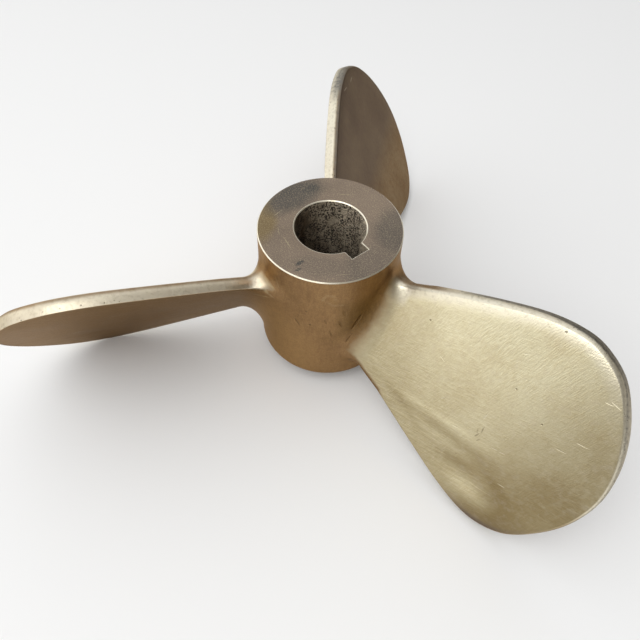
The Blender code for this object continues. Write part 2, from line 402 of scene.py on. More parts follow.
def edge_profile(blade, share):
    """Insets and heights from the arris up round the edge to the face, along the rim."""
    corner = math.degrees(blade.shoulder_slope) * shoulder_share(share)
    turns = (
        (*ROUND_SLOPES, blade.edge_round, ROUND_FACETS),
        (ROUND_SLOPES[1], corner, blade.edge_corner, CORNER_FACETS),
        (corner, 0, blade.shoulder, SHOULDER_FACETS),
    )
    steps = []
    for first, last, width, count in turns:
        slopes = np.radians(first + (last - first) * (np.arange(count) + 0.5) / count)
        steps.append(np.column_stack([np.cos(slopes), np.sin(slopes)]) * width / count)
    steps = np.vstack(steps)
    top = blade.thickness - steps[:, 1].sum()
    wall = np.linspace(blade.arris, top, WALL_FACETS + 1)
    insets = np.concatenate([(wall - blade.arris) / math.tan(math.radians(WALL_SLOPE)), steps[:, 0]])
    insets[WALL_FACETS + 1 :] = insets[WALL_FACETS] + np.cumsum(steps[:, 0])
    heights = np.concatenate([wall, top + np.cumsum(steps[:, 1])])
    return insets, heights


def between(start, end, count):
    """Points that divide the line between two points, without its ends."""
    shares = np.arange(1, count)[:, None] / count
    return start + shares * (end - start)


def edge_points(blade, rim_point, direction, share):
    """The edge's profile at a rim point, as rows of (reach, chord, height)."""
    insets, heights = edge_profile(blade, share)
    return np.column_stack([rim_point + insets[:, None] * direction, heights])


def ring(blade, low, high, low_inward, high_inward, share):
    """Closed section between two rim points, as rows of (reach, chord, height)."""
    low_edge = edge_points(blade, low, low_inward, 1 - share)
    high_edge = edge_points(blade, high, high_inward, share)
    upper = between(low_edge[-1], high_edge[-1], FACE_FACETS)
    back_start = np.append(high + blade.arris * high_inward, 0)
    back_end = np.append(low + blade.arris * low_inward, 0)
    back = np.vstack([back_start, between(back_start, back_end, BACK_FACETS), back_end])
    return np.vstack([low_edge, upper, high_edge[::-1], back])


def barrel_radius(hub, z):
    """Radius of the barrel at a height."""
    top = HUB_TOP - hub.rim_chamfer
    bottom = HUB_BOTTOM + hub.bottom_round
    share = (z - bottom) / (top - bottom)
    return hub.bottom_radius + share * (hub.top_radius - hub.bottom_radius)


def on_blade(blade, reach, chord, height):
    """Places of blade points, with the blade's axis along +X."""
    y = chord * math.cos(blade.pitch) - height * math.sin(blade.pitch)
    z = chord * math.sin(blade.pitch) + height * math.cos(blade.pitch) + blade.height
    return np.column_stack([reach, y, z])


def plate_rings(blade, shoulder_start):
    """Sections of the plate from where its fillet ends out to the tip."""
    rim = outline_curve(OUTLINE, 2 * PLATE_ROWS) * MM
    inward = inward_directions(rim)
    rings = []
    for i in range(PLATE_ROWS):
        j = len(rim) - 1 - i
        share = max(i / (len(rim) - 1), shoulder_start)
        rings.append(ring(blade, rim[j], rim[i], inward[j], inward[i], share))
    return rings


def softened(directions, passes):
    """Directions round a closed ring, blended with their neighbours."""
    for _ in range(passes):
        before, after = np.roll(directions, 1, axis=0), np.roll(directions, -1, axis=0)
        directions = (before + 2 * directions + after) / 4
    return directions / np.linalg.norm(directions, axis=1, keepdims=True)


def outward_directions(points):
    """Unit directions out of a closed section, in its (chord, height) plane."""
    along = np.roll(points, -1, axis=0) - np.roll(points, 1, axis=0)
    out = np.column_stack([-along[:, 2], along[:, 1]])
    return out / np.linalg.norm(out, axis=1, keepdims=True)


def root_ring(blade, hub, turn, shoulder_start):
    """Section in the fillet, and its chart: turn runs from the hub to a quarter turn."""
    spread = blade.root_spread * blade.fillet * (1 - math.cos(turn))
    low = np.array([0, -blade.root_low - spread])
    high = np.array([0, blade.root_high + spread])
    points = ring(blade, low, high, np.array([0, 1]), np.array([0, -1]), shoulder_start)
    out = softened(outward_directions(points), 10)
    radii = blade.fillet + blade.back_fillet * np.clip(-out[:, 1], 0, 1)
    points[:, 1:] += (radii * (1 - math.sin(turn)))[:, None] * out
    placed = on_blade(blade, points[:, 0], points[:, 1], points[:, 2])
    barrel = barrel_radius(hub, placed[:, 2])
    placed[:, 0] = np.sqrt(barrel**2 - placed[:, 1] ** 2) + radii * (1 - math.cos(turn))
    return placed, np.column_stack([placed[:, 0], points[:, 1]])


def sector_border(hub):
    """Border of a blade's third of the barrel, as (azimuth, height) from its lower left."""
    top, bottom = HUB_TOP - hub.rim_chamfer, HUB_BOTTOM + hub.bottom_round
    half = math.pi / 3
    corners = np.array([(-half, bottom), (-half, top), (half, top), (half, bottom), (-half, bottom)])
    counts = (SECTOR_SIDE, SECTOR_TOP, SECTOR_SIDE, SECTOR_TOP)
    sides = []
    for start, end, count in zip(corners, corners[1:], counts):
        sides.append(start + np.arange(count)[:, None] / count * (end - start))
    return np.vstack(sides)


def matched_border(foot, border, radius):
    """The border turned so that its points lie nearest the fillet's foot."""
    scale = np.array([radius, 1])
    gaps = [np.sum(((np.roll(border, i, axis=0) - foot) * scale) ** 2) for i in range(len(border))]
    return np.roll(border, int(np.argmin(gaps)), axis=0)


def barrel_rings(hub, foot, azimuth):
    """Rings on the barrel from the border of a sector in to the fillet's foot."""
    flat_foot = np.column_stack([np.arctan2(foot[:, 1], foot[:, 0]), foot[:, 2]])
    border = matched_border(flat_foot, sector_border(hub), hub.top_radius)
    top, bottom = border[:, 1].max(), border[:, 1].min()
    rings = []
    for row in range(BARREL_ROWS):
        share = row / BARREL_ROWS
        flat = border + share * (flat_foot - border)
        radius = barrel_radius(hub, flat[:, 1])
        for i, (around, z) in enumerate(flat):
            calm = smooth(min(top - z, z - bottom) / (12 * MM)) * smooth(3 * (1 - share))
            radius[i] += calm * barrel_waves(radius[i], around + math.radians(azimuth), z)
        x, y = radius * np.cos(flat[:, 0]), radius * np.sin(flat[:, 0])
        rings.append(np.column_stack([x, y, flat[:, 1]]))
    return rings


def bore_outline(hub, growth, keyway_growth):
    """Outline of the bore and keyway, grown for their chamfers, from beside the keyway."""
    radius = hub.bore_radius + growth
    half = hub.keyway_width / 2 + keyway_growth
    reach = hub.keyway_reach + keyway_growth
    corner = math.asin(half / radius)
    angles = np.linspace(corner, 2 * math.pi - corner, HUB_POINTS - KEYWAY_POINTS)
    arc = np.column_stack([radius * np.cos(angles), radius * np.sin(angles)])
    floor = np.column_stack([np.full(KEYWAY_POINTS, reach), np.linspace(-half, half, KEYWAY_POINTS)])
    outline = np.vstack([arc, floor])
    c, s = math.cos(hub.keyway_azimuth), math.sin(hub.keyway_azimuth)
    return outline @ np.array([[c, s], [-s, c]])


def loop(outline, z):
    """A closed loop of points at one height."""
    return np.column_stack([outline, np.full(len(outline), z)])


def circle(radius, first):
    """Points round the shaft axis, in step with the borders of the blades' sectors."""
    angles = first + np.arange(HUB_POINTS) * 2 * math.pi / HUB_POINTS
    return np.column_stack([radius * np.cos(angles), radius * np.sin(angles)])


class Casting:
    """Gathers the casting's points, their charts and traits, and its faces."""

    def __init__(self):
        self.points = []
        self.charts = []
        self.traits = []
        self.faces = []
        self.finishes = []

    def add_ring(self, points, chart, traits):
        """Add a ring of points and return its first index."""
        first = len(self.points)
        # The smooth outline would swell 0.1 mm past the CAD's facets
        self.points.extend(np.clip(points, *CAD_BOX).tolist())
        self.charts.extend(chart.tolist())
        self.traits.extend(traits.tolist())
        return first

    def add_face(self, corners, finish):
        """Add one face."""
        self.faces.append(corners)
        self.finishes.append(finish)

    def join(self, first, second, count, finish):
        """Join two rings of as many points with quads."""
        for i in range(count):
            j = (i + 1) % count
            self.add_face((first + i, first + j, second + j, second + i), finish)

    def to_mesh(self, name):
        """Weld the gathered faces into one closed mesh."""
        mesh = bpy.data.meshes.new(name)
        mesh.from_pydata(self.points, [], self.faces)
        mesh.polygons.foreach_set("material_index", self.finishes)
        chart = mesh.attributes.new("chart", "FLOAT_VECTOR", "POINT")
        chart.data.foreach_set("vector", np.array(self.charts).ravel())
        for column, trait in enumerate(TRAITS):
            layer = mesh.attributes.new(trait, "FLOAT", "POINT")
            layer.data.foreach_set("value", [values[column] for values in self.traits])
        shape = bmesh.new()
        shape.from_mesh(mesh)
        bmesh.ops.remove_doubles(shape, verts=shape.verts, dist=WELD_DISTANCE)
        bmesh.ops.recalc_face_normals(shape, faces=shape.faces)
        shape.to_mesh(mesh)
        shape.free()
        mesh.shade_smooth()
        mesh.set_sharp_from_angle(angle=SHARP_ANGLE)
        return mesh


def cloud(x, y, z, size):
    """Smooth noise between -1 and 1 with features of the given size."""
    return noise.noise(Vector((x, y, z)) / size)


def barrel_waves(radius, azimuth, z):
    """Unevenness of the barrel, cast and then ground by hand."""
    x, y = radius * math.cos(azimuth), radius * math.sin(azimuth)
    return (cloud(x, y, z, 30 * MM) * 0.22 + cloud(x, y, z / 3, 11 * MM) * 0.07) * MM


def face_waves(name, reach, chord):
    """Height of the shallow waves and dents that hand grinding left on a face."""
    seed = len(name) * 0.1
    broad = cloud(reach, chord, seed, 44 * MM) * 0.3
    ripples = cloud(reach / 6, chord, seed + 0.05, 8 * MM) * 0.08
    near_low_edge = smooth((5 * MM - chord) / (50 * MM))
    height = broad + ripples * (0.4 + 1.6 * near_low_edge)
    for hollow in HOLLOWS.get(name, []):
        height -= hollow_depth(hollow, reach, chord)
    return height * MM


def hollow_depth(hollow, reach, chord):
    """Depth in mm of one long hollow, or strength of one band, beside a point."""
    centre_reach, centre_chord, half_length, half_width, turn, depth = hollow
    along, across = reach / MM - centre_reach, chord / MM - centre_chord
    c, s = math.cos(math.radians(turn)), math.sin(math.radians(turn))
    u, v = (c * along + s * across) / half_length, (c * across - s * along) / half_width
    return depth * math.exp(-u * u - v * v)


def uneven(flat, name):
    """A blade section with its upper face and its back made uneven inside the edges."""
    moved = flat.copy()
    low, high = flat[EDGE_FACETS], flat[EDGE_FACETS + FACE_FACETS]
    root = rising(flat[0, 0], OUTLINE[0][0], 22)
    for i, (reach, chord, _) in enumerate(flat):
        if EDGE_FACETS - SHOULDER_FACETS < i < EDGE_FACETS + FACE_FACETS + SHOULDER_FACETS:
            inside = min(math.dist(flat[i, :2], low[:2]), math.dist(flat[i, :2], high[:2]))
            inside = inside if EDGE_FACETS <= i <= EDGE_FACETS + FACE_FACETS else 0
            calm = root * (0.25 + 0.75 * smooth(inside / (12 * MM)))
            moved[i, 2] += calm * face_waves(name, reach, chord)
        elif i > RING_POINTS - BACK_FACETS:
            inside = min(i - RING_POINTS + BACK_FACETS, RING_POINTS - i) / 5
            moved[i, 2] -= root * smooth(inside) * face_waves(name + " under", reach, chord)
    return moved


def blade_rows(blade, hub, name, azimuth):
    """Rings of one blade from the border of its sector of the barrel to its tip."""
    shoulder_start = SHOULDER_STARTS[name]
    flats = plate_rings(blade, shoulder_start)
    turns = np.linspace(0, math.pi / 2, FILLET_ROWS)
    roots = [root_ring(blade, hub, turn, shoulder_start) for turn in turns]
    traits = plate_traits(name, flats[0], 0)
    rows = []
    for row, points in enumerate(barrel_rings(hub, roots[0][0], azimuth)):
        rows.append((points, roots[0][1], barrel_traits(row / BARREL_ROWS)))
    for (points, chart), turn in zip(roots, turns):
        rows.append((points, chart, fillet_traits(traits, chart[:, 1] / blade.root_high, turn)))
    plates = []
    for row, flat in enumerate(flats):
        moved = uneven(flat, name)
        placed = on_blade(blade, moved[:, 0], moved[:, 1], moved[:, 2])
        placed[:, 2] += blade.rake * (placed[:, 0] - hub.top_radius)
        traits = plate_traits(name, flat, row / (2 * PLATE_ROWS - 1))
        plates.append((placed, flat[:, :2], traits))
    end, end_chart, _ = rows[-1]
    start, start_chart, traits = plates[0]
    for step in range(1, NECK_ROWS):
        share = step / NECK_ROWS
        chart = end_chart + share * (start_chart - end_chart)
        rows.append((end + share * (start - end), chart, traits))
    return rows + plates


def blade_layer(name):
    """Third coordinate of a blade's chart, which keeps each blade's marks to itself."""
    return BLADE_AZIMUTHS[name] / 100


def add_blade(casting, blade, hub, name, azimuth):
    """Add one blade with its fillet and its third of the barrel."""
    spin = np.array(Matrix.Rotation(math.radians(azimuth), 3, "Z"))
    firsts = []
    for points, chart, traits in blade_rows(blade, hub, name, azimuth):
        chart = np.column_stack([chart, np.full(len(chart), blade_layer(name))])
        firsts.append(casting.add_ring(points @ spin.T, chart, traits))
    for first, second in zip(firsts, firsts[1:]):
        casting.join(first, second, RING_POINTS, GROUND)
    close_tip(casting, firsts[-1])


def shoulder_share(share):
    """How much of the edge's shoulder is left at a share of the rim."""
    start, end = SHOULDER_FADE
    return 1 - (1 - SHOULDER_LEAST) * smooth((share - start) / (end - start))


def face_shading(name, reach, chord):
    """How far an upper face is painted darker, as shade and dimmer reflection: the back one high up, the
    others at tip and low edge.
    """
    if name == "back":
        least, gain = BACK_SHADE
        return least + gain * rising(chord, -35, 50)
    spread = 0.2 - 0.5 * chord / (70 * MM) + 0.65 * rising(reach, 140, 80)
    spread += 0.2 * (1 - rising(reach, 75, 40))
    if name == "front":
        spread += sum(hollow_depth(band, reach, chord) for band in REFLECTION_BANDS)
    return min(max(spread, 0), 1)


def plate_traits(name, flat, share):
    """Traits round a section of a blade, from its (reach, chord, height) points."""
    traits = np.zeros((RING_POINTS, len(TRAITS)))
    for i, (reach, chord, _) in enumerate(flat):
        if i > UPPER_END:
            # The back is brown all over, with the dark reflection of the ground painted in, and is
            # painted darker towards its root as shade
            traits[i] = (1, 0, 0, 1.5 - 0.5 * rising(reach, 60, 70), 0)
            continue
        into_edge = min(i, UPPER_END - i)
        past = into_edge - WALL_FACETS - ROUND_FACETS - CORNER_FACETS
        # How far round the rim this side lies, from the raised root to the low one
        around = share if i > RING_POINTS / 4 else 1 - share
        rounded = smooth((into_edge - WALL_FACETS - 2) / 3)
        turned = smooth((into_edge - WALL_FACETS - ROUND_FACETS) / CORNER_FACETS)
        wall, flank, face = WALL_BROWN[name], FLANK_BROWN[name], FACE_BROWN[name]
        if name == "front":
            wall = max(wall, 0.9 * (1 - rising(reach, 72, 26)))
        # Painted highlight along the shoulder of the edge
        band = shoulder_share(around) * (1 - smooth(past / SHOULDER_FACETS)) * (face < 0.5)
        rub_and_highlight = EDGE_RUB_AND_HIGHLIGHT[name]
        dull = face_shading(name, reach, chord)
        if around > 0.5:
            face = max(face, low_root_shade(reach, past))
            dull *= 1 - low_root_shade(reach, past)
        # The front blade's low edge: a brown line, and its rounding painted brown, with no highlight, as
        # a dark reflection
        if name == "front" and around > 0.5:
            scale = math.exp(-(((reach / MM - LOW_EDGE_BROWN[0]) / LOW_EDGE_BROWN[1]) ** 2))
            line, border = 1 - smooth(past / 2), 1 - smooth(past / 7)
            face = max(face, scale * (0.6 * line + 0.3 * border))
            flank = max(flank, 0.75 * smooth((around - 0.52) / 0.08))
            rub_and_highlight *= 1 - smooth((around - 0.52) / 0.08)
        patina = wall + rounded * (flank - wall)
        patina += turned * (face - patina)
        edge = rub_and_highlight * max(1 - turned, 0.7 * band)
        skin = edge_dark_wall(name, reach, around, into_edge) * (1 - turned)
        # Painted shade: the back blade's rounded edge is darker and less bright
        if name == "back":
            edge *= 1 - 0.7 * rounded
            skin = max(skin, 0.7 * rounded * (1 - turned**2))
        traits[i] = (patina, edge, turned * dull, 1, skin)
    return traits


def low_root_shade(reach, past):
    """Painted shade that runs from the barrel along the low edge of a blade's root."""
    width = 7 * (1 - rising(reach, 58, 37))
    return smooth(width / 3) * (1 - smooth((1.5 * past - width + 2) / 3))


def edge_dark_wall(name, reach, around, into_edge):
    """Painted dark reflection on an edge's wall, from its place round the rim and its row up the edge.
    """
    if name == "front":
        tip = smooth((around - 0.3) / 0.08)
        height = 2 + 2.8 * math.exp(-(((around - 0.25) / 0.07) ** 2)) + 5 * tip
        cover = (1 - smooth((into_edge - height) / 2)) * rising(reach, 85, 25)
        return cover * (1 - 0.3 * tip)
    if name == "back":
        rise = 0.45 + 0.5 * smooth((into_edge - 1) / 2)
        return rise * rising(reach, 125, 30)
    return 0.06 * (into_edge < 2) * rising(reach, 120, 30)


def barrel_traits(share):
    """Traits of the barrel's rings: painted shade where the upper side of a fillet starts."""
    traits = np.tile(BARREL_TRAITS, (RING_POINTS, 1))
    for i in range(RING_POINTS):
        traits[i, 2] = CORNER_SHADE * on_upper_side(i) * smooth((share - 0.45) / 0.4)
    return traits


def on_upper_side(i):
    """One for points well inside the upper side of a section, falling to nought at its edges."""
    return smooth((i - 14) / 34) * smooth((UPPER_END - i) / 30)


def fillet_traits(plate, sides, turn):
    """Traits in the fillet, from the barrel's to the plate's: rubbed bright, with a painted highlight,
    on its high side, and with painted shade in its corner.
    """
    traits = np.zeros(plate.shape)
    degrees = math.degrees(turn)
    for i, side in enumerate(sides):
        rubbed = smooth((side - 0.55) / 0.6) * (i <= UPPER_END)
        late = smooth((-side - 0.6) / 0.35) * (i <= UPPER_END)
        start = 16 - 4 * rubbed + 22 * late
        share = smooth((degrees - start) / (70 - 16 * rubbed - 16 * late))
        traits[i] = BARREL_TRAITS + share * (plate[i] - BARREL_TRAITS)
        if i <= UPPER_END:
            # Painted highlight on the fillet's high side
            traits[i, 1] = max(traits[i, 1], 0.9 * rubbed * share**2)
            # Painted shade in the fillet's corner
            corner = CORNER_SHADE * (1 - smooth((degrees - 25) / 40)) * on_upper_side(i)
            traits[i, 2] = max(traits[i, 2], corner)
    return traits


def close_tip(casting, first):
    """Close the blade between the two edges of its last section."""
    for k in range(EDGE_FACETS - 1):
        corners = (k, k + 1, UPPER_END - k - 1, UPPER_END - k)
        casting.add_face([first + i for i in corners], GROUND)
    face = range(EDGE_FACETS - 1, EDGE_FACETS + FACE_FACETS + 2)
    casting.add_face([first + i for i in face], GROUND)
    back = [0, *range(UPPER_END, RING_POINTS)]
    casting.add_face([first + i for i in back], GROUND)


def add_hub_ends(casting, hub):
    """Add the faced ends, their chamfers, the lower rounding and the bore."""
    start = math.radians(min(BLADE_AZIMUTHS.values()) - 60)
    edge = circle(1, start)
    rim_top = HUB_TOP - hub.rim_chamfer
    bottom_centre = HUB_BOTTOM + hub.bottom_round
    rim = [
        (loop(edge * hub.top_radius, rim_top), GROUND),
        (loop(edge * (hub.top_radius - hub.rim_chamfer), HUB_TOP), CHAMFER),
    ]
    rounding = []
    for step in range(ROUNDING_STEPS + 1):
        turn = math.pi / 2 * step / ROUNDING_STEPS
        radius = hub.bottom_radius - hub.bottom_round * (1 - math.cos(turn))
        rounding.append((loop(edge * radius, bottom_centre - hub.bottom_round * math.sin(turn)), GROUND))
    rim_loops = add_loops(casting, rim)
    low_loops = add_loops(casting, rounding)
    lip = bore_outline(hub, hub.bore_chamfer + hub.lip, hub.keyway_chamfer + hub.lip)
    mouth = bore_outline(hub, hub.bore_chamfer, hub.keyway_chamfer)
    wall = bore_outline(hub, 0, 0)
    drop = hub.lip / 4
    depths = np.linspace(HUB_TOP - hub.bore_chamfer, HUB_BOTTOM + hub.bore_chamfer, BORE_LOOPS)
    bore = [(loop(lip, HUB_TOP), CHAMFER), (loop(mouth, HUB_TOP - drop), CHAMFER)]
    bore += [(loop(wall, z), CHAMFER if i == 0 else BORED) for i, z in enumerate(depths)]
    bore += [(loop(mouth, HUB_BOTTOM + drop), CHAMFER), (loop(lip, HUB_BOTTOM), CHAMFER)]
    bore_loops = add_loops(casting, bore)
    shift = nearest_step(rim[-1][0], mouth)
    join_face(casting, rim_loops[-1], bore_loops[0], shift)
    join_face(casting, low_loops[-1], bore_loops[-1], shift)


def add_loops(casting, loops):
    """Add loops round the shaft axis and join each to the next with its finish."""
    firsts = []
    for points, finish in loops:
        around = np.arctan2(points[:, 1], points[:, 0]) * BARREL_MIDDLE
        chart = np.column_stack([around, points[:, 2], np.zeros(len(points))])
        firsts.append(casting.add_ring(points, chart, np.tile(BARREL_TRAITS, (len(points), 1))))
        if len(firsts) > 1:
            casting.join(firsts[-2], firsts[-1], HUB_POINTS, finish)
    return firsts


def nearest_step(rim, mouth):
    """Which point of the rim lies beside the first point of the bore's mouth."""
    directions = rim[:, :2] / np.linalg.norm(rim[:, :2], axis=1, keepdims=True)
    return int(np.argmax(directions @ mouth[0]))


def join_face(casting, rim, mouth, shift):
    """Fill a hub end between its rim and the bore's mouth."""
    for i in range(HUB_POINTS):
        j = (i + 1) % HUB_POINTS
        a, b = (i + shift) % HUB_POINTS, (j + shift) % HUB_POINTS
        casting.add_face((rim + a, rim + b, mouth + j, mouth + i), FACED)


def add_node(material, kind, inputs=None, **settings):
    """Add a shader node, set its properties, and set or connect its inputs."""
    tree = material.node_tree
    made = tree.nodes.new("ShaderNode" + kind)
    for name, value in settings.items():
        setattr(made, name, value)
    for name, value in (inputs or {}).items():
        if isinstance(value, bpy.types.NodeSocket):
            tree.links.new(value, made.inputs[name])
        else:
            made.inputs[name].default_value = value
    return made


def new_material(name):
    """An empty node material and its Principled shader."""
    material = bpy.data.materials.new(name)
    material.use_nodes = True
    shader = material.node_tree.nodes["Principled BSDF"]
    return material, shader


def mixed(material, factor, first, second):
    """Colour socket that mixes two colours by a factor."""
    inputs = {0: factor, 6: first, 7: second}
    return add_node(material, "Mix", inputs, data_type="RGBA").outputs[2]


def seen_from(material, vector, centre, sizes, turn):
    """The vector from a centre, turned back by degrees and measured in the given sizes."""
    inputs = {"Vector": vector, "Location": centre, "Scale": sizes}
    inputs["Rotation"] = (0, 0, math.radians(turn))
    return add_node(material, "Mapping", inputs, vector_type="TEXTURE").outputs["Vector"]


def ramp(material, value, low, high):
    """Nought to one as a value goes from low to high."""
    return add_node(material, "MapRange", {"Value": value, 1: low, 2: high}).outputs[0]


def shared(material, vector):
    """The same vector, converted once for the many nodes that read it."""
    return seen_from(material, vector, (0, 0, 0), (1, 1, 1), 0)


def cloudy(material, vector, sizes, low, high, turn=0, detail=3, swirl=0):
    """Noise drawn out to the given sizes, from nought at its low value to one at its high."""
    placed = seen_from(material, vector, (0, 0, 0), sizes, turn)
    inputs = {"Vector": placed, "Scale": 1, "Detail": detail, "Distortion": swirl}
    return ramp(material, add_node(material, "TexNoise", inputs).outputs["Fac"], low, high)


def spotted(material, vector, spacing, radius, kept):
    """One in round spots, which stand in a share of the cells that fill the space."""
    cells = add_node(material, "TexVoronoi", {"Vector": vector, "Scale": 1 / spacing})
    inputs = {"Value": cells.outputs["Distance"], 1: radius / spacing, 2: radius / spacing * 0.6}
    spot = add_node(material, "MapRange", inputs).outputs[0]
    pick = add_node(material, "SeparateColor", {0: cells.outputs["Color"]}).outputs["Red"]
    chosen = add_node(material, "Math", {0: pick, 1: kept}, operation="LESS_THAN").outputs[0]
    return product(material, spot, chosen)


def product(material, *factors):
    """Product of sockets and numbers."""
    result = factors[0]
    for factor in factors[1:]:
        result = add_node(material, "Math", {0: result, 1: factor}, operation="MULTIPLY").outputs[0]
    return result


def total(material, start, *parts):
    """A start value plus each socket times its factor."""
    for socket, factor in parts:
        inputs = {0: socket, 1: factor, 2: start}
        start = add_node(material, "Math", inputs, operation="MULTIPLY_ADD").outputs[0]
    return start


def strongest(material, sockets):
    """The highest of several values, each compared as soon as it is made."""
    sockets = iter(sockets)
    result = next(sockets)
    for socket in sockets:
        result = add_node(material, "Math", {0: result, 1: socket}, operation="MAXIMUM").outputs[0]
    return result


def long_spot(material, vector, centre, half_length, half_width, turn):
    """One inside a long soft spot, in metres, and nought outside it."""
    # The third size keeps a spot to its own blade's layer
    sizes = (half_length, half_width, 0.3)
    seen = seen_from(material, vector, centre, sizes, turn)
    near = add_node(material, "TexGradient", {"Vector": seen}, gradient_type="SPHERICAL").outputs["Fac"]
    inputs = {"Value": near, 1: 0, 2: 0.6}
    return add_node(material, "MapRange", inputs, interpolation_type="SMOOTHSTEP").outputs[0]


def sized_spot(material, vector, spot, layer):
    """A long soft spot from its place, half sizes and turn, in millimetres and degrees."""
    x, y, half_length, half_width, turn = spot
    sizes = (half_length * MM, half_width * MM)
    return long_spot(material, vector, (x * MM, y * MM, layer), *sizes, turn)


def patch(material, vector, spot, layer):
    """A long soft spot that has its strength as its last value."""
    return product(material, sized_spot(material, vector, spot[:-1], layer), spot[-1])


def scratches(material, chart):
    """One in the deep scratches of all blades' upper faces."""
    lines = ((line, blade_layer(name)) for name in SCRATCHES for line in SCRATCHES[name])
    return strongest(material, (sized_spot(material, chart, line, layer) for line, layer in lines))


def pits(material, chart):
    """One in the pits and cuts of the front blade's upper face."""
    layer = blade_layer("front")
    return strongest(material, (patch(material, chart, pit, layer) for pit in PITS))


def round_barrel(material, place):
    """Where a point lies on the barrel, as its way round the shaft axis and its height."""
    split = add_node(material, "SeparateXYZ", {0: place}).outputs
    around = add_node(material, "Math", {0: split["Y"], 1: split["X"]}, operation="ARCTAN2").outputs[0]
    inputs = {"X": product(material, around, BARREL_MIDDLE), "Y": split["Z"]}
    return shared(material, add_node(material, "CombineXYZ", inputs).outputs["Vector"])


def on_barrel(material, chart, marks):
    """The strongest of the marks given on the barrel."""
    marks = [(math.radians(mark[0]) * BARREL_MIDDLE / MM, *mark[1:]) for mark in marks]
    return strongest(material, (patch(material, chart, mark, 0) for mark in marks))


def warped(material, place, reach, size):
    """A place pushed aside by soft noise, so that what is drawn there loses its plain outline."""
    inputs = {"Vector": place, "Scale": 1 / size, "Detail": 3}
    push = add_node(material, "TexNoise", inputs).outputs["Color"]
    inputs = {0: push, 1: (2 * reach, 2 * reach, 0), 2: place}
    moved = add_node(material, "VectorMath", inputs, operation="MULTIPLY_ADD").outputs["Vector"]
    inputs = {0: moved, 1: (reach, reach, 0)}
    return add_node(material, "VectorMath", inputs, operation="SUBTRACT").outputs["Vector"]


def hatching(material, chart):
    """Marks of the grinding disc, which cross from one direction to another in places."""
    # Really about 1 mm apart and drawn at 1.5 mm
    along = cloudy(material, chart, (5 * MM, 0.75 * MM, 1), 0.32, 0.68, 16)
    across = cloudy(material, chart, (4.5 * MM, 0.75 * MM, 1), 0.32, 0.68, 73)
    swept = cloudy(material, chart, (26 * MM, 20 * MM, 1), 0.42, 0.6, 30, 2)
    zone = sized_spot(material, chart, (*CROSSED_MARKS, 0), blade_layer("front"))
    crossed = ramp(material, total(material, 0, (swept, 0.55), (zone, 0.35)), -0.4, 1.1)
    straight = product(material, along, ramp(material, crossed, 1, 0))
    marks = total(material, straight, (product(material, across, crossed), 1))
    strength = cloudy(material, chart, (18 * MM, 14 * MM, 1), 0.25, 0.75, 0, 2)
    return product(material, marks, total(material, 0.6, (strength, 0.5)))


def relief(material, shader, height):
    """Give the shader a surface relief from a height in millimetres."""
    normal = add_node(material, "Bump", {"Height": height, "Distance": MM}).outputs["Normal"]
    material.node_tree.links.new(normal, shader.inputs["Normal"])


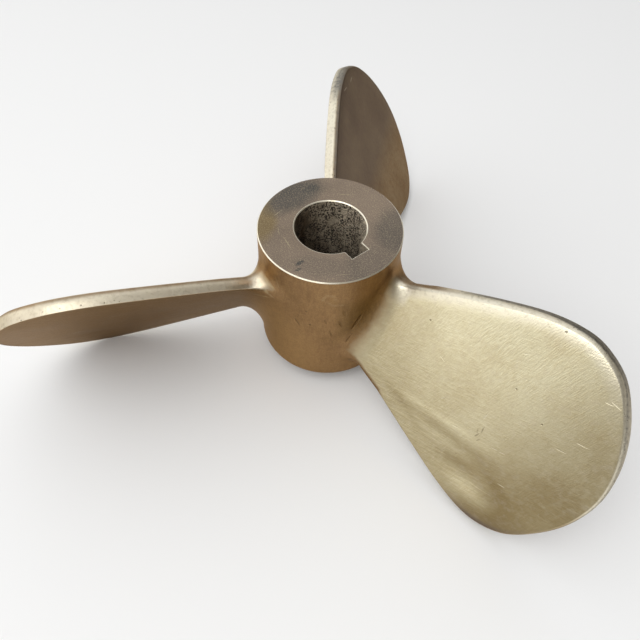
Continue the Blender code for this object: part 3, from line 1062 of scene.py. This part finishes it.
def ground_bronze(finish):
    """Manganese bronze ground by hand: pale where it is fresh, brown where it is handled and where the
    dark reflection of the ground is painted in, with painted highlights on its edges and painted shade.
    """
    material, shader = new_material("hand_ground_bronze")
    chart = shared(material, add_node(material, "Attribute", attribute_name="chart").outputs["Vector"])
    place = add_node(material, "TexCoord").outputs["Object"]
    reads = [add_node(material, "Attribute", attribute_name=trait) for trait in TRAITS]
    patina, edge, dull, blade, skin = [read.outputs["Fac"] for read in reads]

    # Broad clouds, fine mottles and the chatter of the grinding disc, shared by all that follows
    clouds = cloudy(material, place, (40 * MM, 40 * MM, 40 * MM), 0.35, 0.68, 0, 5)
    mottles = cloudy(material, place, (4 * MM, 4 * MM, 4 * MM), 0.3, 0.7, 0, 4)
    grain = cloudy(material, place, (1 * MM, 1 * MM, 1 * MM), 0.3, 0.7, 0, 3)
    chatter = cloudy(material, place, (2.2 * MM, 2.2 * MM, 2.2 * MM), 0.5, 0.7, 0, 3)
    spread = total(material, -0.12, (patina, 1), (clouds, 0.12), (mottles, 0.12))
    covered = ramp(material, spread, 0, 0.9)
    fresh = product(material, ramp(material, covered, 1, 0), blade)

    # Grinding marks, with longer waves between them along the low edge
    hatch = product(material, hatching(material, chart), fresh)
    height = add_node(material, "SeparateXYZ", {0: chart}).outputs["Y"]
    low = product(material, ramp(material, height, 15 * MM, -45 * MM), fresh)
    waves = product(material, cloudy(material, chart, (15 * MM, 2.2 * MM, 1), 0.3, 0.7, 10, 2), low)
    strokes = cloudy(material, chart, (9 * MM, 0.6 * MM, 1), 0.7, 0.85, 4, 1)
    strokes = product(material, strokes, fresh)
    mottling = total(
        material, -0.45, (clouds, 0.5), (mottles, 0.25), (hatch, 0.7), (waves, 0.3), (grain, 0.3)
    )
    face = mixed(material, mottling, finish.ground, finish.mottled)
    # Painted shade and dimmer reflection: the face darkens towards the shaded bronze
    shaded = total(material, 0, (dull, 0.8), (product(material, dull, clouds), 0.15), (hatch, 0.12))
    face = mixed(material, shaded, face, finish.shaded_bronze)

    # The rounding of the edges is rubbed bright, and painted brighter as a highlight, between rough pits
    rub_and_highlight = ramp(material, total(material, -0.12, (edge, 1), (mottles, 0.24)), 0, 0.9)
    face = mixed(material, product(material, rub_and_highlight, 0.9), face, finish.rubbed)
    face = mixed(material, product(material, edge, chatter, 0.3), face, finish.pitted)

    # Brown patina of handled bronze with the dark reflection of the ground painted in, rubbed golden in
    # swirls, with painted shade: olive in corners, grey brown on the darker faces and darker on the
    # blades' backs
    swirls = cloudy(material, place, (2.2 * MM, 2.2 * MM, 9 * MM), 0.3, 0.7, 20, 4, 1)
    rubbed = total(material, -0.35, (swirls, 0.4), (mottles, 0.25), (clouds, 0.2), (grain, 0.4))
    brown = mixed(material, rubbed, finish.patina, finish.golden)
    bare = ramp(material, blade, 1, 0)
    blotches = cloudy(material, place, (12 * MM, 12 * MM, 20 * MM), 0.52, 0.78, 0, 4)
    brown = mixed(material, product(material, blotches, 0.2), brown, finish.grime_and_shade)
    # Painted shade: darker on brown blade surfaces, most towards the backs' roots
    shade_on_brown = product(material, blade, patina, total(material, 0.15, (grain, 0.55)))
    brown = mixed(material, shade_on_brown, brown, finish.grime_and_shade)
    # Painted shade: olive in the corners of the fillets on the barrel
    brown = mixed(material, product(material, dull, bare), brown, finish.corner)
    # Painted shade: grey brown where a blade's brown face is painted darker
    shaded_blade = ramp(material, product(material, dull, blade), 0.3, 1)
    brown = mixed(material, product(material, shaded_blade, 0.75), brown, finish.shaded_grey)
    barrel = round_barrel(material, place)
    gouges = on_barrel(material, barrel, GOUGES)
    rub_marks = product(material, on_barrel(material, barrel, RUB_MARKS), mottles)
    handled = total(material, 0.3, (mottles, 0.3), (grain, 0.4))
    handled = product(material, on_barrel(material, barrel, HANDLED), bare, handled)
    brown = mixed(material, handled, brown, finish.golden)
    brown = mixed(material, product(material, gouges, 0.45), brown, finish.grime_and_shade)
    brown = mixed(material, product(material, rub_marks, 0.35), brown, finish.mottled)
    base = mixed(material, covered, face, brown)

    # Painted dark reflection on the wall of the edges, broken where it is thin
    darkened_wall = total(material, 0, (skin, 1), (product(material, skin, chatter), 0.5))
    base = mixed(material, ramp(material, darkened_wall, 0.1, 1.1), base, finish.skin)

    # Scratches show bright, pits and specks dark
    deep = scratches(material, chart)
    specks = product(material, spotted(material, place, 6 * MM, 0.4 * MM, 0.05), blade)
    chips = spotted(material, place, 2 * MM, 0.5 * MM, 0.35)
    chips = product(material, chips, ramp(material, skin, 0, 0.05))
    dark = strongest(material, [pits(material, chart), specks, chips])
    base = mixed(material, product(material, strokes, 0.15), base, finish.rubbed)
    base = mixed(material, product(material, deep, 0.35), base, finish.rubbed)
    base = mixed(material, product(material, dark, 0.6), base, finish.grime_and_shade)
    material.node_tree.links.new(base, shader.inputs["Base Color"])

    tint = mixed(material, covered, finish.edge_tint, finish.patina_tint)
    material.node_tree.links.new(tint, shader.inputs["Specular Tint"])
    rough = total(material, 0.31, (hatch, 0.06), (clouds, 0.05), (covered, 0.05), (edge, 0.04))
    material.node_tree.links.new(rough, shader.inputs["Roughness"])
    shader.inputs["Metallic"].default_value = 1
    parts = [(hatch, 0.09), (waves, 0.2), (mottles, 0.03), (grain, 0.015), (gouges, -0.35), (deep, -0.1)]
    parts += [(product(material, swirls, covered), 0.05), (dark, -0.2), (strokes, 0.04)]
    parts += [(product(material, chatter, edge), 0.04), (rub_marks, -0.1)]
    relief(material, shader, total(material, 0, *parts))
    return material


def turned_rings(material, place, spacing):
    """Rings round the shaft axis, as a face turned in the lathe has."""
    inputs = {"Vector": place, "Scale": 1 / spacing / 20, "Distortion": 0.3, "Detail": 2}
    return add_node(
        material, "TexWave", inputs, wave_type="RINGS", rings_direction="Z", wave_profile="SIN"
    ).outputs["Fac"]


def lathe_chart(material, place):
    """Distance from the shaft axis and way round it, for marks that run round a faced end."""
    split = add_node(material, "SeparateXYZ", {0: place}).outputs
    flat = add_node(material, "CombineXYZ", {"X": split["X"], "Y": split["Y"]}).outputs["Vector"]
    away = add_node(material, "VectorMath", {0: flat}, operation="LENGTH").outputs["Value"]
    around = add_node(material, "Math", {0: split["Y"], 1: split["X"]}, operation="ARCTAN2").outputs[0]
    inputs = {"X": away, "Y": product(material, around, FACE_MIDDLE)}
    return add_node(material, "CombineXYZ", inputs).outputs["Vector"]


def on_top_face(material, place, patches):
    """The strongest of the patches given on the hub's upper face."""
    return strongest(material, (patch(material, place, spot, HUB_TOP) for spot in patches))


def faced_bronze(finish):
    """Bronze faced in the lathe and stained, with painted patches of sheen and reflection: brown grey
    satin with faint turned rings.
    """
    material, shader = new_material("faced_bronze")
    place = add_node(material, "TexCoord").outputs["Object"]
    clouds = cloudy(material, place, (22 * MM, 22 * MM, 22 * MM), 0.4, 0.66, 0, 4)
    specks = cloudy(material, place, (0.8 * MM, 0.8 * MM, 0.8 * MM), 0.35, 0.7, 0, 2)
    turned = lathe_chart(material, place)
    near = warped(material, place, 4 * MM, 14 * MM)
    # Tool marks are really 0.2 mm apart and drawn at 1.5 mm
    rings = turned_rings(material, place, 1.5 * MM)
    # Painted sheen and reflection: olive gold and grey patches of the upper face, among real stains
    base = mixed(material, on_top_face(material, near, GOLD_SHEEN), finish.faced, finish.olive_sheen)
    stain_and_sheen_share = total(material, on_top_face(material, near, STAINS_AND_SHEEN), (clouds, 0.15), (specks, -0.15))
    base = mixed(material, stain_and_sheen_share, base, finish.stain_and_sheen)
    arcs = cloudy(material, turned, (0.45 * MM, 7 * MM, 1), 0.62, 0.75, 0, 1)
    lines = on_top_face(material, place, FACE_SCRATCHES)
    light = total(material, -0.2, (specks, 0.48), (arcs, 0.22), (lines, 0.7))
    base = mixed(material, light, base, finish.mottled)
    material.node_tree.links.new(base, shader.inputs["Base Color"])
    rough = total(material, 0.34, (clouds, 0.08), (specks, 0.06))
    material.node_tree.links.new(rough, shader.inputs["Roughness"])
    shader.inputs["Metallic"].default_value = 1
    shader.inputs["Anisotropic"].default_value = 0.6
    around = add_node(material, "Tangent", direction_type="RADIAL", axis="Z").outputs["Tangent"]
    material.node_tree.links.new(around, shader.inputs["Tangent"])
    relief(material, shader, total(material, 0, (rings, 0.01), (specks, 0.02)))
    return material


def bright_chamfer(finish):
    """Chamfer turned last in the lathe: the bright line round the hub's edges."""
    material, shader = new_material("turned_chamfer_bronze")
    place = add_node(material, "TexCoord").outputs["Object"]
    nicks = cloudy(material, place, (3 * MM, 3 * MM, 3 * MM), 0.5, 0.7)
    base = mixed(material, product(material, nicks, 0.4), finish.rubbed, finish.mottled)
    material.node_tree.links.new(base, shader.inputs["Base Color"])
    shader.inputs["Metallic"].default_value = 1
    shader.inputs["Roughness"].default_value = 0.34
    return material


def bored_bronze(finish):
    """Bored wall, stained by grease, pitted by the cast metal's pores, and painted darker as shade on
    its left side and deeper down.
    """
    material, shader = new_material("bored_bronze")
    place = add_node(material, "TexCoord").outputs["Object"]
    stains = cloudy(material, place, (8 * MM, 8 * MM, 14 * MM), 0.4, 0.62, 0, 4)
    pores = spotted(material, place, 2.4 * MM, 1 * MM, 0.5)
    pocks = cloudy(material, place, (1 * MM, 1 * MM, 1.3 * MM), 0.46, 0.56, 0, 4)
    clusters = cloudy(material, place, (8 * MM, 8 * MM, 8 * MM), 0.28, 0.5)
    holes = product(material, strongest(material, [pores, pocks]), clusters)
    # Painted shade: darker over the bore's left side
    shaded_side = long_spot(material, place, (-24 * MM, -13 * MM, 20 * MM), 45 * MM, 45 * MM, 0)
    keyway = long_spot(material, place, (21 * MM, -18 * MM, 20 * MM), 11 * MM, 11 * MM, 0)
    holes = product(material, holes, ramp(material, keyway, 1.3, 0))
    depth = add_node(material, "SeparateXYZ", {0: place}).outputs["Z"]
    # Painted shade: darker deeper down the bore
    deep = ramp(material, depth, 45 * MM, 5 * MM)
    dirt_and_shade = total(material, 0, (stains, 0.3), (shaded_side, 0.75), (keyway, 0.75), (deep, 0.3))
    base = mixed(material, dirt_and_shade, finish.bored, finish.grime_and_shade)
    base = mixed(material, product(material, holes, 0.95), base, finish.pore)
    material.node_tree.links.new(base, shader.inputs["Base Color"])
    rough = total(material, 0.42, (stains, 0.1), (holes, 0.2))
    material.node_tree.links.new(rough, shader.inputs["Roughness"])
    # Grease and dirt hide most of the metal
    shader.inputs["Metallic"].default_value = 0.15
    relief(material, shader, total(material, 0, (holes, -0.2), (stains, 0.03)))
    return material


class PROPELLER_OT_casting(bpy.types.Operator):
    """Build the finished surface of the one-piece casting"""

    bl_idname = "propeller.casting"
    bl_label = "Propeller casting"

    def execute(self, context):
        """Build the mesh, give it its finishes and hand it to the frame."""
        scene = context.scene
        hub, blade, finish = scene.propeller_hub, scene.propeller_blade, scene.propeller_finish
        casting = Casting()
        for name, azimuth in BLADE_AZIMUTHS.items():
            add_blade(casting, blade, hub, name, azimuth)
        add_hub_ends(casting, hub)
        mesh = casting.to_mesh("bronze_propeller")
        for make in (ground_bronze, faced_bronze, bright_chamfer, bored_bronze):
            mesh.materials.append(make(finish))
        piece = bpy.data.objects.new("bronze_propeller", mesh)
        scene.collection.objects.link(piece)
        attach(piece, "root")
        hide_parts("propeller_casting")
        return {"FINISHED"}


class PROPELLER_OT_stage(bpy.types.Operator):
    """Set the pale floor, the soft lights and the camera"""

    bl_idname = "propeller.stage"
    bl_label = "Stage"

    def execute(self, context):
        """Build the stage around the propeller."""
        settings = context.scene.propeller_stage
        make_floor(context.scene, settings)
        make_lights(context.scene, settings)
        make_camera(context.scene)
        context.scene.view_settings.view_transform = "Standard"
        return {"FINISHED"}


def make_floor(scene, settings):
    """A pale floor just under the blades' lowest edges."""
    half_size = 6
    mesh = bpy.data.meshes.new("floor")
    signs = ((-1, -1), (1, -1), (1, 1), (-1, 1))
    corners = [(x * half_size, y * half_size, 0) for x, y in signs]
    mesh.from_pydata(corners, [], [(0, 1, 2, 3)])
    material, shader = new_material("pale_floor")
    shader.inputs["Base Color"].default_value = settings.floor
    shader.inputs["Roughness"].default_value = 0.9
    mesh.materials.append(material)
    floor = bpy.data.objects.new("floor", mesh)
    floor.location.z = CAD_BOX[0][2]
    scene.collection.objects.link(floor)


def add_softbox(scene, name, place, target, size, power):
    """A rectangular area light at a place, aimed at a target."""
    data = bpy.data.lights.new(name, "AREA")
    data.shape = "RECTANGLE"
    data.size, data.size_y = size
    data.energy = power
    light = bpy.data.objects.new(name, data)
    light.location = place
    light.rotation_euler = (Vector(target) - Vector(place)).to_track_quat("-Z", "Y").to_euler()
    light.visible_camera = False
    scene.collection.objects.link(light)


def make_lights(scene, settings):
    """A softbox overhead, a long one low at the left, and a sky that dims to the right."""
    add_softbox(
        scene, "overhead", place=(-0.25, -0.65, 1.2), target=(0, 0, 0), size=(1.1, 1.1),
        power=settings.key_power,
    )
    add_softbox(
        scene, "left_wall", place=(-1.3, -0.5, 0.4), target=(0, -0.5, 0.4), size=(2.8, 0.8),
        power=settings.side_power,
    )
    world = bpy.data.worlds.new("studio")
    world.use_nodes = True
    direction = add_node(world, "TexCoord").outputs["Generated"]
    inputs = {0: direction, 1: BRIGHT_SKY}
    along = add_node(world, "VectorMath", inputs, operation="DOT_PRODUCT").outputs["Value"]
    inputs = {"Value": along, 1: SKY_FADE[0], 2: SKY_FADE[1]}
    bright = add_node(world, "MapRange", inputs, interpolation_type="SMOOTHSTEP").outputs[0]
    sky = mixed(world, bright, settings.dim, settings.sky)
    world.node_tree.links.new(sky, world.node_tree.nodes["Background"].inputs["Color"])
    world.node_tree.nodes["Background"].inputs["Strength"].default_value = SKY_STRENGTH
    scene.world = world


def make_camera(scene):
    """A wide camera close over the hub, at the photograph's viewing angle."""
    turn = math.radians(CAMERA_TURN)
    place = Vector((0, -CAMERA_ASIDE * HUB_RADIUS, HUB_TOP + CAMERA_ABOVE * HUB_RADIUS))
    place = Matrix.Rotation(turn, 4, "Z") @ place
    right, up = Vector(CAMERA_RIGHT), Vector(CAMERA_UP)
    axes = Matrix((right, up, right.cross(up))).transposed()
    axes = Matrix.Rotation(turn, 3, "Z") @ axes
    data = bpy.data.cameras.new("camera")
    data.sensor_width = SENSOR_WIDTH
    data.lens = SENSOR_WIDTH * FOCAL_LENGTH / IMAGE_SIZE
    data.shift_x = (IMAGE_SIZE / 2 - VIEW_CENTRE[0]) / IMAGE_SIZE
    data.shift_y = (VIEW_CENTRE[1] - IMAGE_SIZE / 2) / IMAGE_SIZE
    data.clip_start = 0.01
    camera = bpy.data.objects.new("camera", data)
    camera.matrix_world = Matrix.Translation(place) @ axes.to_4x4()
    scene.collection.objects.link(camera)
    bpy.context.scene.camera = camera


class PROPELLER_PT_panel(bpy.types.Panel):
    """The propeller's sizes, finishes and steps"""

    bl_label = "Ship Propeller"
    bl_space_type = "VIEW_3D"
    bl_region_type = "UI"
    bl_category = "Propeller"

    def draw(self, context):
        """List the settings and the steps."""
        for name in SETTINGS:
            group = getattr(context.scene, name)
            box = self.layout.box()
            for key in group.__annotations__:
                box.prop(group, key)
        for step in STEPS:
            self.layout.operator(step.bl_idname)


SETTINGS = {
    "propeller_hub": HubSizes,
    "propeller_blade": BladeSizes,
    "propeller_finish": BronzeFinish,
    "propeller_stage": StageSettings,
}
STEPS = (PROPELLER_OT_casting, PROPELLER_OT_stage)


def register():
    """Register the settings, the operators and the panel."""
    for name, group in SETTINGS.items():
        bpy.utils.register_class(group)
        setattr(bpy.types.Scene, name, bpy.props.PointerProperty(type=group))
    for item in (*STEPS, PROPELLER_PT_panel):
        bpy.utils.register_class(item)


def unregister():
    """Remove what register added."""
    for item in (PROPELLER_PT_panel, *reversed(STEPS)):
        bpy.utils.unregister_class(item)
    for name, group in reversed(SETTINGS.items()):
        delattr(bpy.types.Scene, name)
        bpy.utils.unregister_class(group)


def main():
    """Build every piece and the stage."""
    register()
    bpy.ops.propeller.casting()
    bpy.ops.propeller.stage()


if __name__ == "__main__":
    main()
